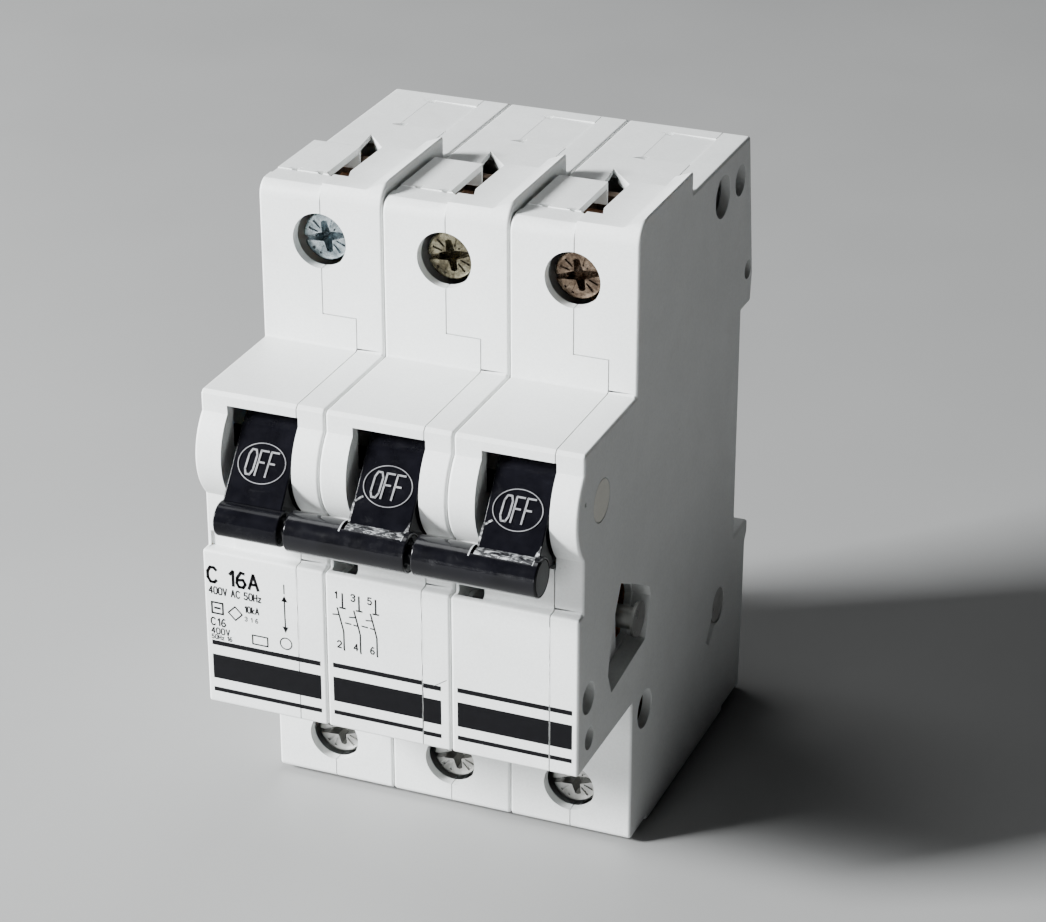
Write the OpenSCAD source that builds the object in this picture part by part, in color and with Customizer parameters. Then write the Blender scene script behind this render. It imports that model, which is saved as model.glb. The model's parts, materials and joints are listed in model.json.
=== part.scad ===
// Three-pole rail-mounted miniature circuit breaker.
// X runs across the poles, +Y towards the mounting rail, +Z up.
// The origin is the middle of the overall box, at the level of the foot.
// Side profiles are drawn as [y, z] points with y = 0 on the label face.

/* [Poles] */
// Distance between neighbouring pole centres
pole_pitch = 17.6; // [17.5:0.1:18]
// Width of one pole's moulding
pole_w = 17.5; // [17.3:0.1:17.5]
// Thickness of the side plates
plate_t = 1.3; // [1.1:0.1:1.5]
// Position of the parting plane between base and cover
seam_x = 4.8; // [4.6:0.1:4.9]
// Half of the gap left along the parting plane
seam_gap = 0.06; // [0.02:0.01:0.1]

/* [Side profile] */
// Depth of the terminal faces behind the label face
face_y = 20; // [19:0.5:21]
// Lower edge of the front window part
label_bot = 22; // [21.5:0.5:22.5]
// Upper edge of the label plate
label_top = 44.8; // [44:0.2:45.4]
// Height of the shoulder over the handle
shoulder_z = 67; // [66.5:0.5:67.5]
// Depth of the recess under the handle
recess_y = 1.6; // [1.2:0.1:1.8]
// Height of the rear half of the top
rear_top_z = 87.5; // [87:0.5:88]
// Height of the cover's front rail on top
cover_top_z = 90.6; // [90:0.2:91]
// Height of the base's raised block on top
base_top_z = 89.1; // [88.7:0.1:89.6]
// Depth of the floor of the rail recess
rail_y = 62; // [61:0.5:62]
// Lower edge of the rail recess
rail_z0 = 27.2; // [27:0.1:27.6]
// Height of the rail recess
rail_h = 35.2; // [35.1:0.1:35.6]
// Depth of the lower lip's tip
lip_y = 68.2; // [67.8:0.1:68.2]
// Clearance under the front and rear ends of the foot
foot_rise = 0.7; // [0.4:0.1:1]

/* [Handle] */
// Depth of the handle's axis
pivot_y = 7.6; // [7.4:0.1:7.8]
// Height of the handle's axis
pivot_z = 58.2; // [58:0.1:58.4]
// Radius of the rounded cheeks beside the handle
cheek_r = 8.4; // [8.2:0.1:8.6]
// Radius of the handle's drum
drum_r = 6.5; // [6.2:0.1:6.6]
// Distance from the handle's axis to the middle of its nose
nose_reach = 13; // [12.8:0.1:13.2]
// Angle of the handle below the horizontal when off
off_angle = 27.5; // [26:0.5:29]
// Angle between the handle's middle plane and each of its faces
wedge_angle = 25.5; // [24:0.5:27]
// Radius of the first handle's nose
nose_r = 2.35; // [2.2:0.05:2.5]
// Outer radius of the tie sleeves
sleeve_r = 2.65; // [2.6:0.05:2.75]
// Radius of the handle's trunnions
trunnion_r = 1.5; // [1.3:0.1:1.7]

/* [Terminals] */
// Radius of the upper screw wells
line_well_r = 3.8; // [3.5:0.1:3.9]
// Radius of the lower screw wells
load_well_r = 3.65; // [3.5:0.05:3.8]
// Shift of the wells to the left of the screw axes
well_shift = 0.2; // [0:0.05:0.3]
// Distance of the screw axes from the middle of the front window
screw_offset = 37.25; // [37:0.05:37.5]
// Radius of the screw shank
screw_r = 2.45; // [2.4:0.05:2.5]
// Radius of the screw head
head_r = 3.4; // [3:0.1:3.4]
// Height of the terminal cages
cage_h = 8; // [7:0.5:8]

/* [Contacts] */
// Angle of the open contact arm above the horizontal
arm_open = 78; // [76:1:80]
// Length of the contact arm
arm_l = 20.8; // [20:0.2:21]
// Number of plates in the arc chute
chute_plates = 9; // [7:1:10]

/* [Hidden] */
$fn = 48;

// colours of the mouldings and metal parts
case_grey = [0.88, 0.89, 0.88];
handle_black = [0.05, 0.05, 0.06];
steel = [0.72, 0.73, 0.75];
copper = [0.78, 0.48, 0.3];
brass = [0.75, 0.62, 0.35];

half_w = pole_w / 2;
inner_x = half_w - plate_t;
front_mid_z = (label_bot + shoulder_z) / 2;
line_z = front_mid_z + screw_offset;
load_z = front_mid_z - screw_offset;
rail_z1 = rail_z0 + rail_h;
pivot = [pivot_y, pivot_z];
nose = pivot + nose_reach * dir(180 + off_angle);
// the sleeves' front and the lower lip's tip are the ends of the overall depth
mid_y = (nose[0] - sleeve_r + lip_y) / 2;

// foot, rear corners and the two steps of the top
foot_y0 = 27;
foot_y1 = 59;
rear_low_y = 67.1;
rear_foot_y = 66.4;
rear_up_y = 66;
rear_knee = [66.6, 66.5];
rear_top_y = 63.8;
cover_step_y = 40.2;
base_step_y = 36.5;
cover_round = 3.2;
base_round = 2.1;
label_edge = 0.4;
pad_z = 89.5;
pad_x1 = 6.2;

// handle opening between the cheeks
open_x0 = -5;
open_x1 = 5;
open_z0 = 50.6;
open_z1 = 65.3;
lever_x0 = -3.6;
lever_x1 = 4.7;
nose_x1 = 5.35;
sleeve_gap = 0.9;

// jogs of the parting line on the terminal faces
upper_jog_z = 71.6;
lower_jog_z = 21.9;
jog_depth = 41;

// slot over the line terminal, with its slanted rear end, and the plain one in the bottom
TOP_SLOT = [[0.1, 24.3], [2.2, 24.3], [1.6, 26.2], [1.7, 38.2], [-0.16, 40.3], [-4.1, 45], [-3.3, 37.8],
  [-1.6, 36.2], [-1.5, 25.4]];
slot_x = [-0.9, 1.9];
slot_y = [22.7, 38.4];

// through rivets [y, z, hole radius, depth of the head below the side]
RIVETS = [[52.4, 82.7, 3, 2.6], [25, 18.8, 2.8, 2.6], [22.9, 33.5, 2.6, 0.3], [55.6, 19.3, 2.7, 0.15]];
rivet_r = 1.6;
boss_r = 2.8;
// plain round holes in the side plates [y, z, radius]
SIDE_HOLES = [[59.8, 82.45, 2.2], [64.3, 67.8, 1.4], [3.6, 31.9, 2.2], [4, 25.8, 1.6]];
// wedge-shaped pocket in the cover's side
POCKET = [[15.1, 43], [26, 37], [26.6, 35.3], [24.7, 29.7], [12, 28.2], [10.6, 31.4], [11.9, 37.5]];
pocket_d = 2.6;
disc_r = 2.9;

// channel of the rail clip
clip_x = 3.7;
clip_y = [59.9, 65.4];
clip_play = 0.3;
clip_top = 29.8;

// posts that carry the contact arm and the trip lever
arm_pivot = [24, 44];
lever_pivot = [32, 36];
post_r = 1.5;
run_gap = 0.05;

// terminal hardware along the screw axis
head_y = [21.9, 25.2];
shank_y1 = 33.9;
bar_y = [34, 35.5];
cage_front_y = [30.4, 32.4];
cage_back_y = [39.6, 41.2];
cage_x = 5.5;
coil_y = 45.2;
coil_z = [14.85, 29];
plunger_top = 33.7;

function dir(a) = [cos(a), sin(a)];
function arc(c, r, a0, a1, n) = [for (i = [0:n]) c + r * dir(a0 + (a1 - a0) * i / n)];
function pole_x(n) = (n - 2) * pole_pitch;
cheek_half = acos((pivot_y - recess_y) / cheek_r);

// ---- helpers ----

// extrudes a [y, z] profile along X from x0 to x1
module along_x(x0, x1) {
  translate([x0, 0, 0]) rotate([90, 0, 90]) linear_extrude(x1 - x0) children();
}

// extrudes an [x, z] profile along Y from y0 to y1
module along_y(y0, y1) {
  translate([0, y1, 0]) rotate([90, 0, 0]) linear_extrude(y1 - y0) children();
}

// places a pole's parts in the common frame
module pole(n) {
  translate([pole_x(n), -mid_y, 0]) children();
}

// a round bar along X at a [y, z] point
module bar_x(c, r, x0, x1) {
  translate([x0, c[0], c[1]]) rotate([0, 90, 0]) cylinder(h = x1 - x0, r = r);
}

// a round bar along Y at height z
module bar_y(x, z, r, y0, y1) {
  translate([x, y0, z]) rotate([-90, 0, 0]) cylinder(h = y1 - y0, r = r);
}

// a block given by its lower and upper corners
module block(a, b) {
  translate(a) cube(b - a);
}

// ---- case profiles ----

module case_profile(top_z, step_y, top_round) {
  polygon(concat(
    arc([face_y + 0.8, foot_rise + 0.8], 0.8, 180, 270, 4),
    [[foot_y0, foot_rise], [foot_y0, 0], [foot_y1, 0], [foot_y1, foot_rise], [rear_foot_y, foot_rise],
     [rear_low_y, 14], [rear_low_y + 0.2, 24], [lip_y, rail_z0 - 1.8], [lip_y, rail_z0], [rail_y, rail_z0],
     [rail_y, rail_z1], [rear_up_y, rail_z1], rear_knee, [rear_top_y, rear_top_z], [step_y, rear_top_z],
     [step_y, top_z]],
    arc([face_y + top_round, top_z - top_round], top_round, 90, 180, 8),
    [[face_y, shoulder_z], [recess_y + 0.5, shoulder_z], [recess_y, shoulder_z - 0.5]],
    arc(pivot, cheek_r, 180 - cheek_half, 180 + cheek_half, 16),
    [[recess_y, label_top], [label_edge, label_top], [0, label_top - label_edge],
     [0, label_bot + label_edge], [label_edge, label_bot], [face_y, label_bot]]));
}

module cavity_profile() {
  inner_face = face_y + 1.4;
  polygon([[inner_face, 2.2], [foot_y1 - 0.8, 2.2], [foot_y1 - 0.8, rail_z0 + 1.4], [rail_y - 1.4, rail_z0 + 1.4],
    [rail_y - 1.4, rail_z1 + 1.4], [rear_up_y - 1.4, rail_z1 + 1.4], [rear_top_y - 1.6, rear_top_z - 1.5],
    [inner_face, rear_top_z - 1.5], [inner_face, shoulder_z - 1.4], [3.2, shoulder_z - 1.4],
    [3.2, label_bot + 1.5], [inner_face, label_bot + 1.5]]);
}

// the parts of the pole in which the parting plane runs at x = 0
module jog_zones(x0, x1, gap) {
  block([x0, face_y - 1, upper_jog_z + gap], [x1, jog_depth - gap, cover_top_z + 1]);
  block([x0, face_y - 1, -1], [x1, jog_depth - 10 - gap, lower_jog_z - gap]);
}

module screw_wells() {
  bar_y(-well_shift, line_z, line_well_r, face_y - 1, face_y + 2);
  bar_y(-well_shift, load_z, load_well_r, face_y - 1, face_y + 2);
}

module wire_slots() {
  translate([0, 0, rear_top_z - 2]) linear_extrude(6) polygon(TOP_SLOT);
  block([slot_x[0], slot_y[0], -1], [slot_x[1], slot_y[1], 3]);
}

module handle_opening(x1) {
  block([open_x0, -3, open_z0], [x1, 3.3, open_z1]);
}

// small window under the tie sleeve, open on the second and third pole
module side_window(n) {
  depth = n == 1 ? recess_y + 0.3 : 6;
  block([-8.2, -1, label_top - 0.05], [-4.7, depth, label_top + 1.9]);
}

module clip_channel() {
  block([-clip_x - clip_play, clip_y[0] - clip_play, -1], [clip_x + clip_play, clip_y[1] + clip_play, rail_z0 + 1]);
  block([-clip_x - clip_play, clip_y[0], -1], [clip_x + clip_play, lip_y + 1, 3.2]);
  block([-clip_x - clip_play, clip_y[0] - clip_play, rail_z0 - 0.8], [clip_x + clip_play, lip_y + 1, rail_z0 + 1]);
}

// ---- casing ----

module base_shell(n) {
  color(case_grey) pole(n) difference() {
    union() {
      along_x(-half_w, -inner_x) case_profile(base_top_z, base_step_y, base_round);
      along_x(-inner_x, seam_x - seam_gap) difference() {
        case_profile(base_top_z, base_step_y, base_round);
        cavity_profile();
      }
      for (r = RIVETS) bar_x([r[0], r[1]], boss_r, -inner_x - 0.5, seam_x);
      bar_x(arm_pivot, post_r, -inner_x - 0.5, 6.2);
      bar_x(lever_pivot, post_r, -inner_x - 0.5, 6.2);
    }
    jog_zones(-seam_gap, half_w, -seam_gap);
    screw_wells();
    wire_slots();
    handle_opening(half_w);
    side_window(n);
    clip_channel();
    for (r = RIVETS) bar_x([r[0], r[1]], rivet_r + 0.1, -half_w - 1, half_w);
    bar_x(pivot, trunnion_r + run_gap, -half_w + 0.35, 0);
    // inset left side of the raised block
    block([-half_w - 1, face_y + 3.4, rear_top_z], [-half_w + 0.4, base_step_y + 1, base_top_z + 1]);
    // space under the raised block beside the slot
    block([-4.4, 25.9, rear_top_z - 2], [-1.2, 35.8, base_top_z - 0.9]);
    // shallow panel on the rear of the top, with a notch at each left corner
    along_y(50.1, 60.9)
      polygon([[-2.2, rear_top_z - 0.02], [half_w, rear_top_z - 0.3], [half_w, rear_top_z + 1], [-2.2, rear_top_z + 1]]);
    translate([0, 0, rear_top_z - 0.7]) linear_extrude(1) {
      polygon([[-3.3, 49.9], [-1.3, 49.6], [-1.3, 51.1]]);
      polygon([[-3.3, 60.6], [-1.3, 59.7], [-1.3, 61.2]]);
    }
    // lower front edge of the raised block, with a notch at each end
    block([-half_w - 1, face_y - 1, base_top_z - 0.12], [1, 25.1, base_top_z + 1]);
    translate([0, 0, base_top_z - 0.6]) linear_extrude(1) {
      polygon([[-7.1, 25.3], [-5.6, 24.9], [-5.3, 26.1]]);
      polygon([[-3.3, 25.4], [-1.9, 24.8], [-1.7, 26.2]]);
    }
  }
}

module cover_shell(n) {
  color(case_grey) pole(n) difference() {
    union() {
      along_x(inner_x, half_w) case_profile(cover_top_z, cover_step_y, cover_round);
      along_x(seam_x + seam_gap, inner_x) difference() {
        case_profile(cover_top_z, cover_step_y, cover_round);
        cavity_profile();
      }
      intersection() {
        along_x(seam_gap, seam_x + 1) difference() {
          case_profile(cover_top_z, cover_step_y, cover_round);
          cavity_profile();
        }
        jog_zones(seam_gap, half_w, seam_gap);
      }
      // walls behind the side pocket
      along_x(half_w - pocket_d - 1, inner_x + 0.1) pocket_wall();
      bar_x(pivot, disc_r, inner_x - 1.2, half_w);
    }
    screw_wells();
    wire_slots();
    handle_opening(open_x1);
    clip_channel();
    // level pad beside the slot, and a rim that rises to the outer edge
    along_y(face_y - 1, cover_step_y + 1)
      polygon([[-1, pad_z], [pad_x1, pad_z], [half_w - 0.2, cover_top_z - 0.1], [half_w - 0.2, cover_top_z + 1],
        [-1, cover_top_z + 1]]);
    block([-1, base_step_y, rear_top_z], [pad_x1, cover_step_y + 1, cover_top_z + 1]);
    for (r = RIVETS) bar_x([r[0], r[1]], r[2], half_w - max(r[3], 0.4) - 0.6, half_w + 1);
    for (r = RIVETS) bar_x([r[0], r[1]], rivet_r + 0.1, 0, half_w + 1);
    for (h = SIDE_HOLES) bar_x([h[0], h[1]], h[2], inner_x - 2, half_w + 1);
    // slot that runs down from the lower rear rivet
    along_x(half_w - 0.8, half_w + 1) polygon([[55.6, 18], [54, 20], [50.6, 15.6], [51.8, 14.6]]);
    along_x(half_w - pocket_d, half_w + 1) polygon(POCKET);
    // its deeper end around the rivet
    along_x(3, half_w) polygon([[19.8, 40], [25.8, 36.9], [26.3, 35.3], [24.6, 30], [20.4, 29.8]]);
    // groove around the disc over the handle's axis
    difference() {
      bar_x(pivot, disc_r + 0.15, half_w - 0.35, half_w + 1);
      bar_x(pivot, disc_r, half_w - 1, half_w + 2);
    }
    bar_x([1.9, 60.2], 0.35, half_w - 0.6, half_w + 1);
    bar_x(pivot, trunnion_r + run_gap, 0, half_w - 0.45);
  }
}

// solid behind the wedge-shaped pocket
module pocket_wall() {
  polygon([[13.9, 45], [27, 38.2], [28, 35.5], [25.8, 28.4], [11.4, 26.9], [9.2, 31.2], [10.6, 38.2]]);
}

// ---- handle and ties ----

// rounded drum with a wedge-shaped lever up to the middle of the nose
module handle_profile() {
  a = 180 + off_angle;
  side = 90 - wedge_angle;
  drop = drum_r - nose_reach * sin(wedge_angle);
  polygon(concat(arc(pivot, drum_r, a - side, a + side - 360, 36),
    [nose + drop * dir(a + side), nose + drop * dir(a - side)]));
}

module handle(n) {
  r = n == 1 ? nose_r : sleeve_r - 0.6;
  color(handle_black) pole(n) {
    along_x(lever_x0, lever_x1) handle_profile();
    bar_x(nose, r, lever_x0 - 0.1, nose_x1);
    bar_x(pivot, trunnion_r, lever_x1 - 0.5, half_w - 0.7);
    bar_x(pivot, trunnion_r, -half_w + 0.6, lever_x0 + 0.5);
  }
}

// sleeve k joins the noses of handles k and k + 1
module tie_sleeve(k) {
  x0 = nose_x1 + sleeve_gap;
  x1 = pole_pitch + nose_x1;
  color(handle_black) pole(k) {
    difference() {
      bar_x(nose, sleeve_r, x0, x1);
      bar_x(nose, sleeve_r - 0.55, x0 + 1, x1 + 1);
      along_x(pole_pitch + lever_x0 - 0.2, pole_pitch + lever_x1 + 0.1) lever_cut();
    }
    bar_x(nose, 1.5, nose_x1, x0 + 0.5);
  }
}

// outline of the lever where it leaves the sleeve
module lever_cut() {
  a = 180 + off_angle;
  drop = drum_r - nose_reach * sin(wedge_angle) + 0.1;
  polygon([nose + drop * dir(a - 90 + wedge_angle), nose + drop * dir(a + 90 - wedge_angle),
    nose + drop * dir(a + 90 - wedge_angle) - 6 * dir(a - wedge_angle),
    nose + drop * dir(a - 90 + wedge_angle) - 6 * dir(a + wedge_angle)]);
}

// ---- current path ----

module moving_contact(n) {
  color(copper) pole(n) translate([0, arm_pivot[0], arm_pivot[1]]) rotate([arm_open, 0, 0]) difference() {
    union() {
      bar_x([0, 0], 3, -3, 3);
      block([-2.2, 0, -1.6], [2.2, arm_l, 1.6]);
      translate([0, arm_l - 1.7, -1.6]) rotate([180, 0, 0]) cylinder(h = 0.8, r = 1.6);
    }
    bar_x([0, 0], post_r + run_gap, -8, 8);
  }
}

module line_conductor(n) {
  tip = arm_pivot + (arm_l - 1.7) * dir(arm_open - 22) + 2.5 * dir(arm_open - 22 - 90);
  color(copper) pole(n) {
    block([-4, bar_y[0], line_z - 7.5], [4, bar_y[1], line_z + 3.6]);
    block([-3, bar_y[0], 70.5], [3, 42, line_z - 7.5]);
    block([-3, 40.5, 52], [3, 42, 70.6]);
    intersection() {
      translate([0, tip[0], tip[1]]) rotate([arm_open - 22 - 180, 0, 0]) cylinder(h = 8, r = 1.6);
      block([-5, 30, 50], [5, 40.6, 70]);
    }
  }
}

module load_conductor(n) {
  color(copper) pole(n) {
    block([-4, bar_y[0], 2.7], [4, bar_y[1], load_z + 6]);
    block([-3, bar_y[0], load_z + 6], [3, 46, load_z + 7.5]);
  }
}

module flex_lead(n) {
  color(copper) pole(n) translate([0, 18.4, 45.2]) rotate([90, 0, 90])
    rotate_extrude(angle = 180) translate([1.7, 0]) circle(0.65, $fn = 16);
}

// ---- trip unit ----

module arc_chute(n) {
  pitch = 2.3;
  color(steel) pole(n) {
    for (i = [0:chute_plates - 1]) block([-5.75, 43.8, 42 + i * pitch], [5.75, 58.8, 43 + i * pitch]);
    for (s = [-1, 1]) block([min(s * 5.7, s * 6.3), 43.8, 41.5], [max(s * 5.7, s * 6.3), 58.8, 63]);
  }
}

module trip_coil(n) {
  z0 = coil_z[0];
  z1 = coil_z[1];
  color(copper) pole(n) translate([0, coil_y, 0]) rotate_extrude() {
    translate([0, z0]) square([3.3, 1.5]);
    translate([1.65, z0]) square([1.65, z1 - z0]);
    for (z = [z0, z1 - 1]) translate([1.65, z]) square([4.45, 1]);
    for (i = [0:5]) translate([4.1, z0 + 2.02 + i * 2.03]) circle(1, $fn = 20);
  }
}

module trip_plunger(n) {
  color(steel) pole(n) translate([0, coil_y, coil_z[0] + 3]) cylinder(h = plunger_top - coil_z[0] - 3, r = 1.6);
}

module bimetal(n) {
  color(brass) pole(n) {
    block([-3, 15.2, 26], [3, 16, 48]);
    block([-3, 12, 25], [3, 16, 26.2]);
  }
}

module trip_lever(n) {
  color([0.9, 0.87, 0.75]) pole(n) translate([0, lever_pivot[0], lever_pivot[1]]) difference() {
    union() {
      bar_x([0, 0], 2.6, -2.5, 2.5);
      along_x(-2, 2) polygon([[0, -2], [18, -2], [18, 0], [2, 0], [1, 4.2], [-14.6, 4.2], [-14.6, 2.6], [-2, 2.6]]);
    }
    bar_x([0, 0], post_r + run_gap, -8, 8);
  }
}

// ---- terminals ----

module terminal_screw(n, z, head_colour) {
  color(head_colour) pole(n) difference() {
    union() {
      bar_y(0, z, head_r, head_y[0], head_y[1]);
      bar_y(0, z, screw_r, head_y[1] - 0.1, shank_y1);
    }
    block([-head_r - 1, head_y[0] - 1, z - 0.5], [head_r + 1, head_y[0] + 1, z + 0.5]);
    block([-0.5, head_y[0] - 1, z - 2.1], [0.5, head_y[0] + 1.4, z + 2.1]);
  }
}

module terminal_cage(n, z) {
  color(steel) pole(n) difference() {
    block([-cage_x, cage_front_y[0], z - cage_h / 2], [cage_x, cage_back_y[1], z + cage_h / 2]);
    block([-cage_x + 1.1, cage_front_y[1], z - cage_h], [cage_x - 1.1, cage_back_y[0], z + cage_h]);
    bar_y(0, z, screw_r + run_gap, cage_front_y[0] - 1, cage_front_y[1] + 1);
  }
}

module line_screw(n) {
  terminal_screw(n, line_z, steel);
}

module line_cage(n) {
  terminal_cage(n, line_z);
}

module load_screw(n) {
  terminal_screw(n, load_z, steel);
}

module load_cage(n) {
  terminal_cage(n, load_z);
}

// ---- rail clip and rivets ----

module din_clip(n) {
  color(handle_black) pole(n) {
    along_x(-clip_x, clip_x) polygon([[clip_y[0], 0.3], [67.4, 0.3], [67.4, 2.4], [clip_y[1], 2.8], [clip_y[1], clip_top - 1.6],
      [clip_y[1] - 1.4, clip_top], [clip_y[1] - 2, clip_top], [clip_y[1] - 2, rail_z0], [clip_y[0], rail_z0]]);
  }
}

module assembly_rivets() {
  x_end = pole_x(3) + half_w;
  color(steel) translate([0, -mid_y, 0]) for (r = RIVETS) {
    bar_x([r[0], r[1]], rivet_r, -x_end + 0.2, x_end - r[3]);
    bar_x([r[0], r[1]], r[2] - 0.15, x_end - r[3] - 0.4, x_end - r[3]);
  }
}

base_shell(1);  // base_shell_1
cover_shell(1);  // cover_shell_1
handle(1);  // handle_1
moving_contact(1);  // moving_contact_1
line_conductor(1);  // line_conductor_1
arc_chute(1);  // arc_chute_1
trip_coil(1);  // trip_coil_1
trip_plunger(1);  // trip_plunger_1
bimetal(1);  // bimetal_1
trip_lever(1);  // trip_lever_1
flex_lead(1);  // flex_lead_1
load_conductor(1);  // load_conductor_1
line_screw(1);  // line_screw_1
line_cage(1);  // line_cage_1
load_screw(1);  // load_screw_1
load_cage(1);  // load_cage_1
din_clip(1);  // din_clip_1
base_shell(2);  // base_shell_2
cover_shell(2);  // cover_shell_2
handle(2);  // handle_2
moving_contact(2);  // moving_contact_2
line_conductor(2);  // line_conductor_2
arc_chute(2);  // arc_chute_2
trip_coil(2);  // trip_coil_2
trip_plunger(2);  // trip_plunger_2
bimetal(2);  // bimetal_2
trip_lever(2);  // trip_lever_2
flex_lead(2);  // flex_lead_2
load_conductor(2);  // load_conductor_2
line_screw(2);  // line_screw_2
line_cage(2);  // line_cage_2
load_screw(2);  // load_screw_2
load_cage(2);  // load_cage_2
din_clip(2);  // din_clip_2
base_shell(3);  // base_shell_3
cover_shell(3);  // cover_shell_3
handle(3);  // handle_3
moving_contact(3);  // moving_contact_3
line_conductor(3);  // line_conductor_3
arc_chute(3);  // arc_chute_3
trip_coil(3);  // trip_coil_3
trip_plunger(3);  // trip_plunger_3
bimetal(3);  // bimetal_3
trip_lever(3);  // trip_lever_3
flex_lead(3);  // flex_lead_3
load_conductor(3);  // load_conductor_3
line_screw(3);  // line_screw_3
line_cage(3);  // line_cage_3
load_screw(3);  // load_screw_3
load_cage(3);  // load_cage_3
din_clip(3);  // din_clip_3
tie_sleeve(1);  // tie_sleeve_1
tie_sleeve(2);  // tie_sleeve_2
assembly_rivets();
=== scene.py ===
import json
import math

import bmesh
import bpy
from mathutils import Matrix, Vector


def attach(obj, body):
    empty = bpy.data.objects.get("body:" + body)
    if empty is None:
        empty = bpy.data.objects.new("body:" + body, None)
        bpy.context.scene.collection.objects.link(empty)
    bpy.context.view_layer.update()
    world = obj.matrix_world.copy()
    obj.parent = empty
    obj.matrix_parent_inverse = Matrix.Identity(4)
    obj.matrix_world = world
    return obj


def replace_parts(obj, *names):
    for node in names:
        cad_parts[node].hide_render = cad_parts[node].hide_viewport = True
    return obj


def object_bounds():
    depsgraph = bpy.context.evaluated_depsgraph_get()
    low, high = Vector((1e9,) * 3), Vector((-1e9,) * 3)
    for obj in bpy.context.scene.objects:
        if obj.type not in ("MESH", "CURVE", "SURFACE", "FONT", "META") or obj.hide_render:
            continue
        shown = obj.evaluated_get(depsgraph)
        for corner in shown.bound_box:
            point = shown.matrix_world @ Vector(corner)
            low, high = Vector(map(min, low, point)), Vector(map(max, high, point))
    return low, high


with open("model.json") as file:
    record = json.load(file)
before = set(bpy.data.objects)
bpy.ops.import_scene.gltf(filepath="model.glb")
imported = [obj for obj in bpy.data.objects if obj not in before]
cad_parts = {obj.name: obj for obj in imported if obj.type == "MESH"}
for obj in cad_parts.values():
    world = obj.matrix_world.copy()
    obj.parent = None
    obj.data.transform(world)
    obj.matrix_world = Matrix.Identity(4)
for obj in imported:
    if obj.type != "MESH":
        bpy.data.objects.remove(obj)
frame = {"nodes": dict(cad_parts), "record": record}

cad_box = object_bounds()
NODES = frame["nodes"]
POLES = (1, 2, 3)
# distance between the middles of two poles, in millimetres
PITCH = 17.6
# y of the label face in the row frame, in metres: the lower lip's tip is 68.2 mm behind it
LABEL_Y = cad_box[1].y - 0.0682


def mm(x, y, z):
    """A point given in millimetres, with y = 0 on the label face."""
    return Vector((x / 1000, LABEL_Y + y / 1000, z / 1000))


def pole_x(n):
    """The x of the middle of pole n, in millimetres."""
    return (n - 2) * PITCH


# ---------- camera ----------

# the camera's direction and distance from the point it looks at, and its focal length in image pixels
CAMERA_AZIMUTH, CAMERA_ELEVATION, CAMERA_DISTANCE = 22.05, 25.82, 0.4248
CAMERA_TARGET = (5.42, 33.0, 48.48)
IMAGE_WIDTH, FOCAL_PIXELS, SENSOR_WIDTH = 1046, 3142.6, 36


def make_camera():
    az, el = math.radians(CAMERA_AZIMUTH), math.radians(CAMERA_ELEVATION)
    back = Vector((math.sin(az) * math.cos(el), -math.cos(az) * math.cos(el), math.sin(el)))
    cam = bpy.data.cameras.new("camera")
    obj = bpy.data.objects.new("camera", cam)
    bpy.context.scene.collection.objects.link(obj)
    obj.location = mm(*CAMERA_TARGET) + back * CAMERA_DISTANCE
    obj.rotation_mode = "QUATERNION"
    obj.rotation_quaternion = (-back).to_track_quat("-Z", "Y")
    cam.sensor_width = SENSOR_WIDTH
    cam.lens = SENSOR_WIDTH * FOCAL_PIXELS / IMAGE_WIDTH
    cam.clip_start, cam.clip_end = 0.02, 20
    bpy.context.scene.camera = obj


make_camera()


# ---------- material helpers ----------

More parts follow.
